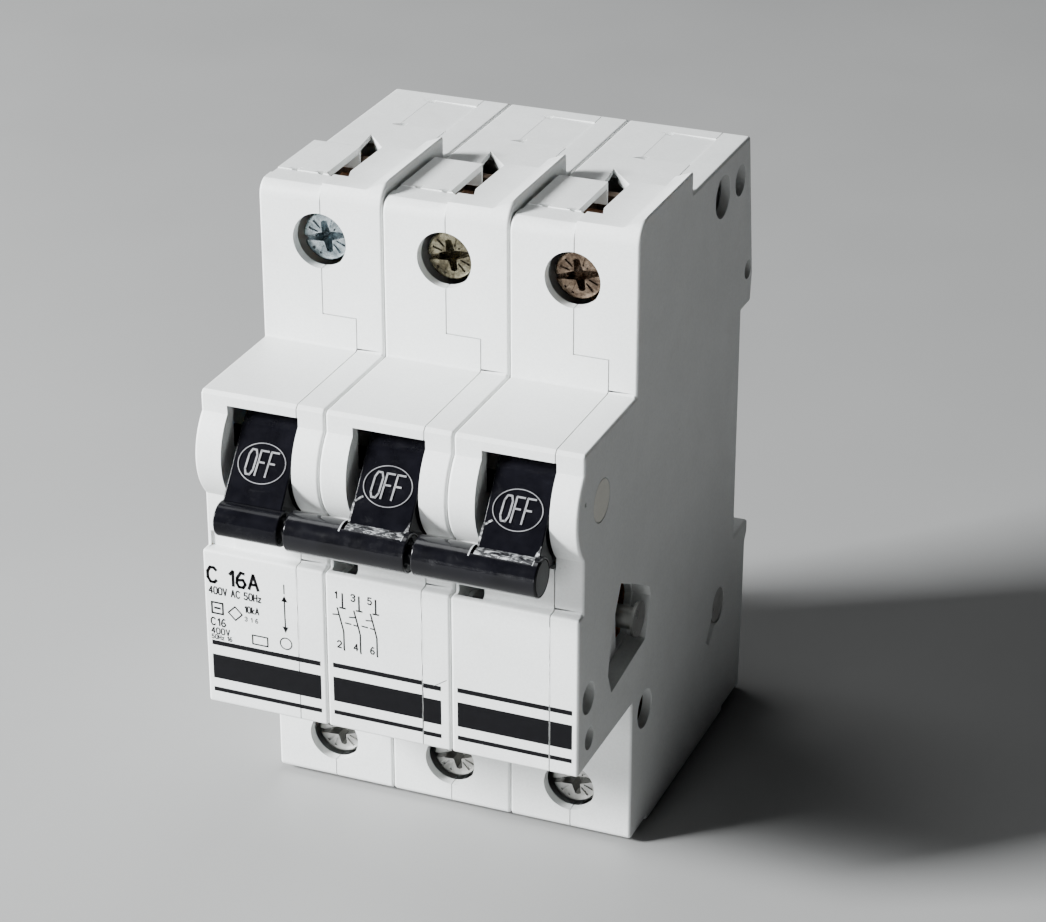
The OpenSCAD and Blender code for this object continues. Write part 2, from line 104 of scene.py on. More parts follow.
class Mat:
    """A node material on a principled shader; the helpers return an output socket to pass on."""

    def __init__(self, name):
        self.m = bpy.data.materials.new(name)
        self.m.use_nodes = True
        self.t = self.m.node_tree
        self.t.nodes.clear()
        self.out = self.node("ShaderNodeOutputMaterial")
        self.bsdf = self.node("ShaderNodeBsdfPrincipled")
        self.link(self.bsdf.outputs[0], self.out.inputs["Surface"])
        self.coord = self.node("ShaderNodeTexCoord").outputs["Object"]

    def node(self, kind, **props):
        n = self.t.nodes.new(kind)
        for k, v in props.items():
            setattr(n, k, v)
        return n

    def link(self, a, b):
        self.t.links.new(a, b)

    def feed(self, socket, value):
        """Links an output to the socket, or sets a plain value on it."""
        if hasattr(value, "is_output"):
            self.link(value, socket)
        else:
            socket.default_value = value

    def set(self, **values):
        """Sets uniform values on the shader, with _ for each space in a socket's name."""
        for k, v in values.items():
            self.bsdf.inputs[k.replace("_", " ")].default_value = v

    def mapped(self, scale):
        n = self.node("ShaderNodeMapping")
        self.link(self.coord, n.inputs["Vector"])
        n.inputs["Scale"].default_value = scale
        return n.outputs[0]

    def noise(self, scale, detail=3.0, rough=0.55, vector=None, distortion=0.0):
        n = self.node("ShaderNodeTexNoise")
        self.link(vector or self.coord, n.inputs["Vector"])
        n.inputs["Scale"].default_value = scale
        n.inputs["Detail"].default_value = detail
        n.inputs["Roughness"].default_value = rough
        n.inputs["Distortion"].default_value = distortion
        return n.outputs["Fac"]

    def voronoi(self, scale):
        n = self.node("ShaderNodeTexVoronoi", feature="F1")
        self.link(self.coord, n.inputs["Vector"])
        n.inputs["Scale"].default_value = scale
        return n.outputs["Distance"]

    def ramp(self, fac, *stops):
        """A colour ramp over (position, colour or grey value) stops."""
        n = self.node("ShaderNodeValToRGB")
        els = n.color_ramp.elements
        while len(els) < len(stops):
            els.new(0.5)
        for e, (pos, col) in zip(els, stops):
            e.position = pos
            e.color = col if isinstance(col, tuple) else (col, col, col, 1)
        self.link(fac, n.inputs[0])
        return n.outputs["Color"]

    def range(self, fac, a, b, lo, hi):
        """Maps a to b onto lo to hi, and holds the ends."""
        n = self.node("ShaderNodeMapRange")
        self.link(fac, n.inputs["Value"])
        n.inputs["From Min"].default_value = a
        n.inputs["From Max"].default_value = b
        n.inputs["To Min"].default_value = lo
        n.inputs["To Max"].default_value = hi
        return n.outputs["Result"]

    def mix(self, fac, a, b, mode="MIX"):
        n = self.node("ShaderNodeMix", data_type="RGBA", blend_type=mode)
        # the factor and the two colour sockets of a colour mix, and its colour output
        for socket, value in ((n.inputs[0], fac), (n.inputs[6], a), (n.inputs[7], b)):
            self.feed(socket, value)
        return n.outputs[2]

    def multiply(self, a, b):
        n = self.node("ShaderNodeMath", operation="MULTIPLY")
        for socket, value in zip(n.inputs, (a, b)):
            self.feed(socket, value)
        return n.outputs[0]

    def bump(self, height, strength, distance, normal=None):
        n = self.node("ShaderNodeBump")
        n.inputs["Strength"].default_value = strength
        n.inputs["Distance"].default_value = distance
        self.link(height, n.inputs["Height"])
        if normal is not None:
            self.link(normal, n.inputs["Normal"])
        return n.outputs["Normal"]

    def colour(self, sock):
        self.link(sock, self.bsdf.inputs["Base Color"])

    def rough(self, sock):
        self.link(sock, self.bsdf.inputs["Roughness"])

    def normal(self, sock):
        self.link(sock, self.bsdf.inputs["Normal"])


def rgb(r, g, b):
    return (r, g, b, 1)


def case_material(name="case_plastic", lo=(0.76, 0.775, 0.765), hi=(0.83, 0.845, 0.835)):
    """Light satin moulding with a fine grain, a few specks of dust and faint handling marks."""
    m = Mat(name)
    m.set(Specular_IOR_Level=0.45, Coat_Weight=0.0, Subsurface_Weight=0.06,
          Subsurface_Radius=(0.0012, 0.0011, 0.001), Subsurface_Scale=1.0)
    flow = m.noise(60, 4, 0.6)
    base = m.ramp(flow, (0.3, rgb(*lo)), (0.7, rgb(*hi)))
    grain = m.noise(2600, 2, 0.5)
    base = m.mix(0.10, base, m.ramp(grain, (0.35, 0.45), (0.65, 1.0)), "MULTIPLY")
    specks = m.range(m.voronoi(420), 0.0, 0.10, 1.0, 0.0)
    gate = m.range(m.noise(95, 2, 0.5), 0.60, 0.68, 0.0, 1.0)
    dirt = m.multiply(specks, gate)
    base = m.mix(m.multiply(dirt, 0.5), base, rgb(0.25, 0.22, 0.19))
    smudge = m.range(m.noise(140, 5, 0.65, distortion=0.6), 0.58, 0.75, 0.0, 0.22)
    base = m.mix(smudge, base, rgb(0.60, 0.59, 0.56))
    m.colour(base)
    m.rough(m.range(m.noise(330, 4, 0.6), 0.3, 0.7, 0.36, 0.52))
    fine = m.bump(grain, 0.10, 0.00008)
    m.normal(m.bump(m.noise(240, 2, 0.5), 0.05, 0.0004, fine))
    return m.m


def rubbed_material():
    """Black plastic with whitish scratches where two parts rub."""
    m = Mat("rubbed_black")
    streak = m.noise(1100, 6, 0.75, m.mapped((0.6, 1.3, 1.3)), 1.2)
    base = m.ramp(streak, (0.50, rgb(0.006, 0.006, 0.008)), (0.60, rgb(0.50, 0.51, 0.52)))
    m.colour(base)
    m.rough(m.range(streak, 0.4, 0.6, 0.25, 0.7))
    m.normal(m.bump(streak, 0.3, 0.00012))
    return m.m


def black_material(name, rough_lo, rough_hi, scuff, lo=(0.002, 0.002, 0.003), hi=(0.005, 0.005, 0.007),
                   shine=0.2):
    """Dark moulding whose gloss varies, with scuffs drawn out along X."""
    m = Mat(name)
    m.set(Specular_IOR_Level=shine)
    flow = m.noise(300, 4, 0.6)
    base = m.ramp(flow, (0.3, rgb(*lo)), (0.7, rgb(*hi)))
    streak = m.noise(420, 5, 0.7, m.mapped((0.45, 1.0, 1.0)), 0.8)
    mask = m.range(streak, 0.60, 0.72, 0.0, scuff)
    base = m.mix(mask, base, rgb(0.30, 0.30, 0.31))
    m.colour(base)
    grain = m.noise(1500, 3, 0.6)
    m.rough(m.range(m.noise(500, 5, 0.7), 0.3, 0.7, rough_lo, rough_hi))
    m.normal(m.bump(grain, 0.12, 0.0001))
    return m.m


def metal_material(name, lo, hi, rough=(0.25, 0.5), scale=700, tarnish=None, amount=0.5):
    """Bare or plated metal between two colours, with patches of tarnish."""
    m = Mat(name)
    m.set(Metallic=1.0)
    base = m.ramp(m.noise(scale, 4, 0.6), (0.3, rgb(*lo)), (0.7, rgb(*hi)))
    if tarnish:
        patch = m.range(m.noise(scale * 0.5, 5, 0.7, distortion=1.0), 0.45, 0.62, 0.0, amount)
        base = m.mix(patch, base, rgb(*tarnish))
    m.colour(base)
    m.rough(m.range(m.noise(scale * 1.7, 4, 0.6), 0.3, 0.7, *rough))
    m.normal(m.bump(m.noise(scale * 2.4, 3, 0.6), 0.2, 0.00008))
    return m.m


def ink_material(name, colour):
    """A slightly uneven print of one colour."""
    m = Mat(name)
    m.set(Specular_IOR_Level=0.12)
    wear = m.noise(900, 4, 0.7)
    base = m.ramp(wear, (0.3, rgb(*[c * 0.8 for c in colour])), (0.75, rgb(*[c * 1.4 for c in colour])))
    m.colour(base)
    m.rough(m.range(m.noise(1200, 3, 0.6), 0.3, 0.7, 0.38, 0.6))
    m.normal(m.bump(wear, 0.05, 0.00004))
    return m.m


MAT = {
    "case": case_material(),
    "handle": black_material("handle_black", 0.10, 0.17, 0.02, shine=0.11),
    "sleeve": black_material("sleeve_black", 0.10, 0.22, 0.05, shine=0.32),
    "relief": black_material("relief_grey", 0.3, 0.45, 0.02, (0.10, 0.10, 0.11), (0.30, 0.30, 0.31)),
    "rubbed": rubbed_material(),
    "clip": black_material("clip_black", 0.4, 0.6, 0.1),
    "ink": ink_material("ink_black", (0.0022, 0.0022, 0.003)),
    "zinc": metal_material("zinc_blue", (0.30, 0.36, 0.39), (0.62, 0.69, 0.72), (0.18, 0.36), 900,
                           (0.10, 0.13, 0.14), 0.75),
    "zinc_yellow": metal_material("zinc_yellow", (0.16, 0.14, 0.09), (0.42, 0.39, 0.28), (0.16, 0.34), 900,
                                  (0.05, 0.04, 0.025), 0.8),
    "zinc_brown": metal_material("zinc_brown", (0.13, 0.09, 0.06), (0.38, 0.29, 0.22), (0.16, 0.34), 900,
                                 (0.04, 0.025, 0.018), 0.85),
    "steel": metal_material("steel_plated", (0.42, 0.42, 0.41), (0.60, 0.60, 0.58), (0.25, 0.4), 260,
                            (0.30, 0.28, 0.25), 0.3),
    "cage": metal_material("cage_brown", (0.16, 0.11, 0.08), (0.30, 0.22, 0.16), (0.4, 0.6), 600,
                           (0.06, 0.04, 0.03), 0.6),
    "copper": metal_material("copper_strip", (0.62, 0.30, 0.17), (0.80, 0.46, 0.30), (0.25, 0.45), 600,
                             (0.30, 0.14, 0.08), 0.5),
    "bimetal": metal_material("bimetal_strip", (0.60, 0.52, 0.38), (0.72, 0.66, 0.52), (0.25, 0.4), 600),
    "lever": case_material("lever_natural", (0.70, 0.66, 0.52), (0.78, 0.74, 0.60)),
    "cap": case_material("cap_cream", (0.84, 0.82, 0.74), (0.92, 0.90, 0.82)),
    # dark grey for the joint line below the band and for the painted shade in the small groove of the label
    "joint_and_groove_shade": ink_material("joint_line_and_groove_shade", (0.10, 0.10, 0.10)),
    "edge": ink_material("rubbed_edge", (0.42, 0.43, 0.44)),
    "snap": case_material("seam_edge", (0.90, 0.91, 0.90), (0.96, 0.97, 0.96)),
}


# ---------- studio ----------

def area_light(name, loc, target, size, energy, colour=(1, 1, 1)):
    data = bpy.data.lights.new(name, "AREA")
    data.shape = "RECTANGLE"
    data.size, data.size_y = size
    data.energy = energy
    data.color = colour
    obj = bpy.data.objects.new(name, data)
    bpy.context.scene.collection.objects.link(obj)
    obj.location = loc
    obj.rotation_mode = "QUATERNION"
    obj.rotation_quaternion = (Vector(target) - Vector(loc)).to_track_quat("-Z", "Y")


def make_studio():
    bm = bmesh.new()
    bmesh.ops.create_grid(bm, x_segments=24, y_segments=24, size=3)
    me = bpy.data.meshes.new("floor")
    bm.to_mesh(me)
    bm.free()
    floor = bpy.data.objects.new("floor", me)
    bpy.context.scene.collection.objects.link(floor)
    m = Mat("floor_pale")
    m.colour(m.ramp(m.noise(3, 3, 0.5), (0.3, rgb(0.30, 0.30, 0.30)), (0.7, rgb(0.33, 0.33, 0.325))))
    m.rough(m.range(m.noise(20, 3, 0.5), 0.3, 0.7, 0.45, 0.6))
    me.materials.append(m.m)
    world = bpy.data.worlds.new("world")
    world.use_nodes = True
    world.node_tree.nodes["Background"].inputs[0].default_value = (0.95, 0.97, 1, 1)
    world.node_tree.nodes["Background"].inputs[1].default_value = 0.01
    bpy.context.scene.world = world
    # the key comes from the front left and leaves the right side in shade
    mid = (0, 0, 0.045)
    area_light("key", (-0.84, -0.60, 0.54), mid, (0.28, 0.28), 61, (0.97, 0.99, 1))
    area_light("top", (-0.25, 0.10, 0.80), mid, (0.3, 0.3), 1.5, (0.97, 0.99, 1))
    area_light("front", (-0.12, -1.15, 0.18), mid, (0.4, 0.3), 4, (0.96, 0.98, 1))


make_studio()


# ---------- mesh helpers ----------

def add(name, bm_or_mesh, material, body, smooth=None):
    """Makes a piece that rides on a body; edges sharper than smooth degrees stay sharp."""
    if isinstance(bm_or_mesh, bmesh.types.BMesh):
        me = bpy.data.meshes.new(name)
        bm_or_mesh.to_mesh(me)
        bm_or_mesh.free()
    else:
        me = bm_or_mesh
    obj = bpy.data.objects.new(name, me)
    bpy.context.scene.collection.objects.link(obj)
    me.materials.clear()
    me.materials.append(material)
    if smooth is not None:
        me.shade_smooth()
        me.set_sharp_from_angle(angle=math.radians(smooth))
    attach(obj, body)
    return obj


# the body that each CAD node belongs to
BODY = {n: b for b, ns in frame["record"]["behaviour"]["bodies"].items() for n in ns}


# ---------- solid modelling helpers ----------

def arc(c, r, a0, a1, n):
    """n + 1 points on a circle, from angle a0 to a1 in degrees."""
    pts = []
    for i in range(n + 1):
        a = math.radians(a0 + (a1 - a0) * i / n)
        pts.append((c[0] + r * math.cos(a), c[1] + r * math.sin(a)))
    return pts


def polar(c, r, a):
    """The point at distance r and angle a, in degrees, from c."""
    return (c[0] + r * math.cos(math.radians(a)), c[1] + r * math.sin(math.radians(a)))


def span(bm, first, last):
    """Closes a solid between two outlines that have the same number of points."""
    rings = [[bm.verts.new(point) for point in outline] for outline in (first, last)]
    k = len(rings[0])
    faces = [bm.faces.new(rings[0]), bm.faces.new(list(reversed(rings[1])))]
    for i in range(k):
        j = (i + 1) % k
        faces.append(bm.faces.new((rings[0][j], rings[0][i], rings[1][i], rings[1][j])))
    bmesh.ops.recalc_face_normals(bm, faces=faces)
    return bm


def prism(profile, x0, x1, cx=0.0, width=0.0, ends=(), ridge=25, min_side=1.0, segments=3):
    """A prism along X over [y, z] points.

    With a width, its ridges and the outlines at the ends named ("lo", "hi") are rounded by that much.
    """
    bm = span(bmesh.new(), *[[mm(cx + x, y, z) for y, z in profile] for x in (x0, x1)])
    if width:
        k = len(profile)
        bm.verts.index_update()
        pick = []
        for e in bm.edges:
            a, b = e.verts
            ia, ib = a.index, b.index
            if abs(a.co.x - b.co.x) < 1e-9:
                if (ia < k and "lo" in ends) or (ia >= k and "hi" in ends):
                    pick.append(e)
            elif e.calc_face_angle(0) > math.radians(ridge):
                i = min(ia, ib)
                p, q, r = profile[i - 1], profile[i], profile[(i + 1) % k]
                if min(math.dist(p, q), math.dist(q, r)) >= min_side:
                    pick.append(e)
        bmesh.ops.bevel(bm, geom=pick, offset=width / 1000, offset_type="OFFSET", segments=segments,
                        profile=0.5, affect="EDGES", clamp_overlap=False, miter_outer="SHARP")
    return bm


def rod_x(c, r, x0, x1, cx=0.0, n=40, width=0.0, ends=()):
    """A round rod along X about the [y, z] point c."""
    return prism(arc(c, r, 0, 360 - 360 / n, n - 1), x0, x1, cx, width, ends, ridge=80)


def rod_y(x, z, r, y0, y1, n=48):
    """A round rod along Y about x, z."""
    turns = [2 * math.pi * i / n for i in range(n)]
    circle = [(x + r * math.cos(a), z + r * math.sin(a)) for a in turns]
    return span(bmesh.new(), *[[mm(u, y, w) for u, w in circle] for y in (y0, y1)])


def block(a, b, cx=0.0):
    """A box between two corners."""
    bm = bmesh.new()
    bmesh.ops.create_cube(bm, size=1)
    lo, hi = mm(cx + a[0], a[1], a[2]), mm(cx + b[0], b[1], b[2])
    for v in bm.verts:
        v.co = Vector((hi[i] if v.co[i] > 0 else lo[i] for i in range(3)))
    return bm


def slab(points, z0, z1, cx=0.0):
    """An upright prism over [x, y] points."""
    return span(bmesh.new(), *[[mm(cx + x, y, z) for x, y in points] for z in (z1, z0)])


def along_y(points, y0, y1, cx=0.0):
    """A prism along Y over [x, z] points."""
    return span(bmesh.new(), *[[mm(cx + x, y, z) for x, z in points] for y in (y0, y1)])


def scratch_object(bm, name="scratch"):
    """An object for a moment, to run modifiers on."""
    me = bpy.data.meshes.new(name)
    bm.to_mesh(me)
    bm.free()
    obj = bpy.data.objects.new(name, me)
    bpy.context.scene.collection.objects.link(obj)
    return obj


def carve(bm, steps):
    """Applies ("cut" or "join" or "keep", bmesh) steps in turn and returns the mesh."""
    obj = scratch_object(bm, "carved")
    tools = []
    kinds = {"cut": "DIFFERENCE", "join": "UNION", "keep": "INTERSECT"}
    for kind, tool in steps:
        t = scratch_object(tool)
        tools.append(t)
        mod = obj.modifiers.new(kind, "BOOLEAN")
        mod.operation = kinds[kind]
        mod.solver = "EXACT"
        mod.use_self = True
        mod.object = t
    bpy.context.view_layer.update()
    dg = bpy.context.evaluated_depsgraph_get()
    me = bpy.data.meshes.new_from_object(obj.evaluated_get(dg))
    for o in tools + [obj]:
        old = o.data
        bpy.data.objects.remove(o)
        bpy.data.meshes.remove(old)
    return me


def weighted(obj):
    """Keeps the flat faces flat beside rounded edges."""
    mod = obj.modifiers.new("even_shading", "WEIGHTED_NORMAL")
    mod.keep_sharp = True
    mod.weight = 100
    return obj


# ---------- casing ----------

# half the width of a pole and of its cavity, and the x of the parting line on the label
HALF = 8.75
INNER = HALF - 1.3
SEAM = 4.8
# half the gap left along the parting line
GAP = 0.08
# the handles' axis [y, z], the angle of the lever below the horizontal when off, and its shape
PIVOT = (7.6, 58.2)
OFF = 27.5
REACH = 13.0
DRUM = 6.5
WEDGE = 25.5
NOSE = polar(PIVOT, REACH, 180 + OFF)
# heights of the two rows of terminals, and the front of the case around them
LINE_Z, LOAD_Z = 81.75, 7.25
TERMINAL_Y = 20
# heights of the rear top, and of the raised tops of base and cover with the y where each ends
REAR_TOP = 87.5
BASE_TOP, BASE_STEP = 89.1, 36.5
COVER_TOP, COVER_STEP = 90.6, 40.2
# foot and head of the label, and the rail recess
LABEL_FOOT, LABEL_HEAD = 22, 44.8
RAIL_Y, RAIL_LOW, RAIL_HIGH = 62, 27.2, 62.4
# [y, z, radius, depth] of the rivets and [y, z, radius] of the blind holes in the right side
RIVETS = ((52.4, 82.7, 3.0, 2.6), (25, 18.8, 2.8, 2.6), (22.9, 33.5, 2.6, 0.3), (55.6, 19.3, 2.7, 0.15))
SIDE_HOLES = ((59.8, 82.45, 2.2), (64.3, 67.8, 1.4), (3.6, 31.9, 2.2), (4, 25.8, 1.6))
# [y, z] outlines of the pocket in the right side, of the wall around it, and of its deep end
POCKET = [(15.1, 43), (26, 37), (26.6, 35.3), (24.7, 29.7), (12, 28.2), (10.6, 31.4), (11.9, 37.5)]
POCKET_WALL = [(13.9, 45), (27, 38.2), (28, 35.5), (25.8, 28.4), (11.4, 26.9), (9.2, 31.2), (10.6, 38.2)]
POCKET_END = [(19.8, 40), (25.8, 36.9), (26.3, 35.3), (24.6, 30), (20.4, 29.8)]
# [x, y] outline of the slot in the top
TOP_SLOT = [(0.1, 24.3), (2.2, 24.3), (1.6, 26.2), (1.7, 38.2), (-0.16, 40.3), (-4.1, 45), (-3.3, 37.8),
            (-1.6, 36.2), (-1.5, 25.4)]
# radius of the cheeks beside the handle, and where they meet the front
CHEEK, CHEEK_Y = 8.4, 1.6


def case_profile(top_z, step_y, top_round):
    """The [y, z] outline of a pole, whose raised top ends at step_y."""
    cheek = math.degrees(math.acos((PIVOT[0] - CHEEK_Y) / CHEEK))
    return (arc((20.8, 1.5), 0.8, 180, 270, 4)
            + [(27, 0.7), (27, 0), (59, 0), (59, 0.7), (66.4, 0.7), (67.1, 14), (67.3, 24), (68.2, 25.4),
               (68.2, RAIL_LOW), (RAIL_Y, RAIL_LOW), (RAIL_Y, RAIL_HIGH), (66, RAIL_HIGH), (66.6, 66.5),
               (63.8, REAR_TOP), (step_y, REAR_TOP), (step_y, top_z)]
            + arc((TERMINAL_Y + top_round, top_z - top_round), top_round, 90, 180, 8)
            + [(TERMINAL_Y, 67), (2.1, 67), (CHEEK_Y, 66.5)]
            + arc(PIVOT, CHEEK, 180 - cheek, 180 + cheek, 20)
            + [(CHEEK_Y, LABEL_HEAD), (0.0, LABEL_HEAD), (0, LABEL_FOOT), (TERMINAL_Y, LABEL_FOOT)])


def cavity_profile():
    """The [y, z] outline of the space inside."""
    return [(21.4, 2.2), (58.2, 2.2), (58.2, 28.6), (60.6, 28.6), (60.6, 63.8), (64.6, 63.8), (62.2, 86),
            (21.4, 86), (21.4, 65.6), (3.2, 65.6), (3.2, 23.5), (21.4, 23.5)]


def shared_cuts(x1):
    """What both mouldings leave open: screw wells, wire entries, handle opening up to x1, and rail clip."""
    return [("cut", rod_y(-0.2, LINE_Z, 3.8, 18, 22.5)), ("cut", rod_y(-0.2, LOAD_Z, 3.65, 18, 22.5)),
            ("cut", slab(TOP_SLOT, 85.5, 92)), ("cut", block((-0.9, 22.7, -1), (1.9, 38.4, 3))),
            ("cut", block((-5, -3, 50.6), (x1, 3.4, 65.3))),
            ("cut", block((-4, 59.6, -1), (4, 65.7, 28.2))), ("cut", block((-4, 59.9, -1), (4, 70, 3.2))),
            ("cut", block((-4, 59.6, 26.4), (4, 70, 28.2)))]


def base_mesh():
    """The left moulding of a pole, about x = 0."""
    bm = prism(case_profile(BASE_TOP, BASE_STEP, 2.1), -HALF, SEAM - GAP, 0, 0.4, ("lo",))
    steps = [("cut", prism(cavity_profile(), -INNER, SEAM + 1)),
             ("cut", block((-GAP, 19, 71.5), (9, 41.06, 92))),
             ("cut", block((-0.06, 19, -1), (9, 31.06, 21.92)))]
    steps += shared_cuts(9)
    # dark space beside and behind the slot, then the sloping panel at the rear with its two notches
    steps += [("cut", block((-4.4, 25.9, 85.5), (-1.2, 35.8, 88.2))),
              ("cut", block((-6, 37, 85.5), (-3, 45.5, 86.8))),
              ("cut", along_y([(-2.2, 87.48), (9, 87.2), (9, 88.5), (-2.2, 88.5)], 50.1, 60.9)),
              ("cut", slab([(-3.3, 49.9), (-1.3, 49.6), (-1.3, 51.1)], 86.8, 88)),
              ("cut", slab([(-3.3, 60.6), (-1.3, 59.7), (-1.3, 61.2)], 86.8, 88))]
    # the shallow front edge of the raised top, its two notches, and the inset along the left side
    steps += [("cut", block((-10, 19, 88.98), (1, 25.1, 90))),
              ("cut", slab([(-7.1, 25.3), (-5.6, 24.9), (-5.3, 26.1)], 88.4, 90)),
              ("cut", slab([(-3.3, 25.4), (-1.9, 24.8), (-1.7, 26.2)], 88.4, 90)),
              ("cut", block((-10, 23.4, 87.62), (-8.35, 37.5, 92)))]
    steps += [("cut", rod_x((y, z), 1.7, -9, -7)) for y, z, _, _ in RIVETS]
    return carve(bm, steps)


def cover_mesh():
    """The right moulding of a pole, about x = 0."""
    bm = prism(case_profile(COVER_TOP, COVER_STEP, 3.2), GAP, HALF, 0, 0.4, ("hi",))
    steps = [("cut", prism(cavity_profile(), -1, INNER)),
             ("cut", block((-1, -9, 21.8), (SEAM + GAP, 70, 71.66))),
             ("cut", block((-1, 41, 71), (SEAM + GAP, 70, 95))),
             ("cut", block((-1, 31, -3), (SEAM + GAP, 70, 22.5))),
             ("join", prism(POCKET_WALL, 5.15, 7.6))]
    steps += shared_cuts(5)
    # the rim that rises to the right, the top behind it, the handle's bearing and the dot beside it
    steps += [("cut", along_y([(-1, 89.5), (6.2, 89.5), (8.55, 90.45), (8.55, 92), (-1, 92)], 19, 45)),
              ("cut", block((-1, 36.5, REAR_TOP), (6.2, 45, 92))),
              ("cut", rod_x(PIVOT, 2.95, HALF - 0.4, 10)),
              ("cut", rod_x((1.9, 60.2), 0.35, HALF - 0.6, 10, 0, 12))]
    steps += [("cut", rod_x((y, z), r, HALF - max(d, 0.4) - 0.6, 10)) for y, z, r, d in RIVETS]
    steps += [("cut", rod_x((y, z), r, 5.45, 10)) for y, z, r in SIDE_HOLES]
    # a nick beside the lowest rivet, and the pocket
    steps += [("cut", prism([(55.6, 18), (54, 20), (50.6, 15.6), (51.8, 14.6)], HALF - 0.8, 10)),
              ("cut", prism(POCKET, HALF - 2.6, 10)), ("cut", prism(POCKET_END, 4, HALF - 2))]
    return carve(bm, steps)


def shifted(mesh, dx, cuts=()):
    """A copy of a mesh moved along X by dx millimetres, with more cuts made in it."""
    me = mesh.copy()
    me.transform(Matrix.Translation((dx / 1000, 0, 0)))
    if not cuts:
        return me
    bm = bmesh.new()
    bm.from_mesh(me)
    bpy.data.meshes.remove(me)
    return carve(bm, cuts)


BASE, COVER = base_mesh(), cover_mesh()
for n in POLES:
    cx = pole_x(n)
    # small opening under the sleeve, a shallow recess on the first pole
    window = block((-8.2, 0.9, 44.75 if n == 1 else 43.0), (-4.7, 1.9 if n == 1 else 6, 46.9), cx)
    obj = add("base_moulding_%d" % n, shifted(BASE, cx, [("cut", window)]), MAT["case"], "casing",
              34)
    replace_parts(weighted(obj), "base_shell_%d" % n)
    obj = add("cover_moulding_%d" % n, shifted(COVER, cx), MAT["case"], "casing", 34)
    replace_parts(weighted(obj), "cover_shell_%d" % n)
    # light end of the handle's bearing, level with the side of the cover
    add("bearing_end_%d" % n, rod_x(PIVOT, 2.78, HALF - 0.5, HALF - 0.03, cx, 40), MAT["cap"], "casing",
        40)
for me in (BASE, COVER):
    bpy.data.meshes.remove(me)


# ---------- handles and tie sleeves ----------

# angles of the normals of the lever's two faces from its own direction, and how far from
# the nose's middle the faces pass
FACE_TURN = 90 - WEDGE
LEVER_NOSE = DRUM - REACH * math.sin(math.radians(WEDGE))
LEVER_ANGLE = 180 + OFF


def lever_profile():
    """The [y, z] outline of a lever: the drum and the wedge that runs out to the nose."""
    return (arc(PIVOT, DRUM, LEVER_ANGLE - FACE_TURN, LEVER_ANGLE + FACE_TURN - 360, 44)
            + [polar(NOSE, LEVER_NOSE, LEVER_ANGLE + FACE_TURN),
               polar(NOSE, LEVER_NOSE, LEVER_ANGLE - FACE_TURN)])


def joined(*parts):
    """One mesh with all the parts in it."""
    out = bmesh.new()
    for p in parts:
        me = bpy.data.meshes.new("part")
        p.to_mesh(me)
        p.free()
        out.from_mesh(me)
        bpy.data.meshes.remove(me)
    return out


def lever_cut_profile():
    """The end of the lever, 0.1 mm larger, as a cutter."""
    up = polar(NOSE, LEVER_NOSE + 0.1, LEVER_ANGLE - FACE_TURN)
    down = polar(NOSE, LEVER_NOSE + 0.1, LEVER_ANGLE + FACE_TURN)
    return [up, down, polar(down, -6, LEVER_ANGLE - WEDGE), polar(up, -6, LEVER_ANGLE + WEDGE)]


def handle(n):
    """A lever with a bead along its nose and a pin at each side."""
    cx = pole_x(n)
    r = 2.35 if n == 1 else 2.4
    parts = [prism(lever_profile(), -3.6, 4.7, cx, 0.22, ("lo", "hi"), ridge=40),
             rod_x(NOSE, r, -3.7, 5.35, cx, 48, 0.25, ("lo", "hi")),
             rod_x(PIVOT, 1.5, 4.2, 8.05, cx, 32), rod_x(PIVOT, 1.5, -8.15, -3.1, cx, 32)]
    obj = add("handle_moulding_%d" % n, joined(*parts), MAT["handle"], "handle_bar", 40)
    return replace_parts(weighted(obj), "handle_%d" % n)


def tie_sleeve(k):
    """The sleeve from the end of bead k over bead k + 1, open where that lever enters it."""
    cx = pole_x(k)
    x0, x1 = 6.25, PITCH + 5.35
    bm = rod_x(NOSE, 2.65, x0, x1, cx, 56, 0.22, ("lo", "hi"))
    window = [polar(NOSE, 1.5, 100)] + arc(NOSE, 4, 126, 55, 8)
    steps = [("cut", rod_x(NOSE, 2.42, x0 + 1, x1 + 1, cx, 40)),
             ("cut", prism(window, PITCH - 3.8, PITCH + 4.5, cx)),
             ("cut", prism(lever_cut_profile(), PITCH - 3.8, PITCH + 4.8, cx)),
             ("join", rod_x(NOSE, 1.5, 5.35, x0 + 0.5, cx, 28))]
    obj = add("sleeve_moulding_%d" % k, carve(bm, steps), MAT["sleeve"], "handle_bar", 40)
    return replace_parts(weighted(obj), "tie_sleeve_%d" % k)


for n in POLES:
    handle(n)
for k in (1, 2):
    tie_sleeve(k)


# ---------- strokes: prints on the label, raised marks on the handles ----------

